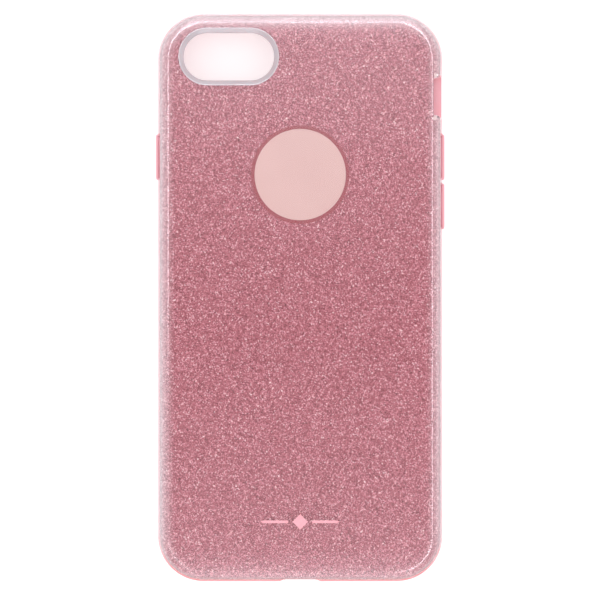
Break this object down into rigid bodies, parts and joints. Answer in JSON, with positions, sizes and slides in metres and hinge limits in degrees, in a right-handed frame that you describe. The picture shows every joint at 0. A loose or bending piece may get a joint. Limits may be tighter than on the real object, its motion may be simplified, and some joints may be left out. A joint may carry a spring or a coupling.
{
  "type": "phone case",
  "caption": "Slim layered phone case with a glitter sheet under a clear cover, a round window, button covers, and openings for camera, switch and port.",
  "frame": {"origin": "under the middle of the case, on the surface that it rests on, with the case lying face down on its screen-side lip", "axes": "+Z out of the decorated back, -Z out of the screen opening, +Y from the charging port edge to the top edge, +X to the right seen from behind, towards the volume buttons"},
  "size_m": [0.0728, 0.1426, 0.0099],
  "materials": {
    "bumper_tpu": "satin, slightly see-through soft plastic",
    "button_tpu": "satin soft plastic",
    "web_tpu": "thin satin soft plastic",
    "adhesive": "clear film",
    "glitter": "fine metallic glitter under a clear film",
    "window_border": "smooth printed border",
    "clear_cover": "polished clear hard plastic",
    "foil": "pale pink hot-stamped foil"
  },
  "bodies": {
    "case": {"bumper_shell": "bumper_tpu", "adhesive_film": "adhesive", "glitter_sheet": "glitter", "window_ring": "window_border", "clear_cover": "clear_cover", "foil_mark": "foil", "power_button_web": "web_tpu", "volume_up_web": "web_tpu", "volume_down_web": "web_tpu"},
    "power": {"power_button": "button_tpu"},
    "volume_up": {"volume_up_button": "button_tpu"},
    "volume_down": {"volume_down_button": "button_tpu"}
  },
  "joints": [
    {"name": "power_press", "type": "slide", "parent": "case", "child": "power", "axis": [1, 0, 0], "range_m": [0, 0.00035], "stiffness_N_per_m": 2500, "deforming": ["power_button_web"]},
    {"name": "volume_up_press", "type": "slide", "parent": "case", "child": "volume_up", "axis": [-1, 0, 0], "range_m": [0, 0.00035], "stiffness_N_per_m": 2500, "deforming": ["volume_up_web"]},
    {"name": "volume_down_press", "type": "slide", "parent": "case", "child": "volume_down", "axis": [-1, 0, 0], "range_m": [0, 0.00035], "stiffness_N_per_m": 2500, "deforming": ["volume_down_web"]}
  ]
}
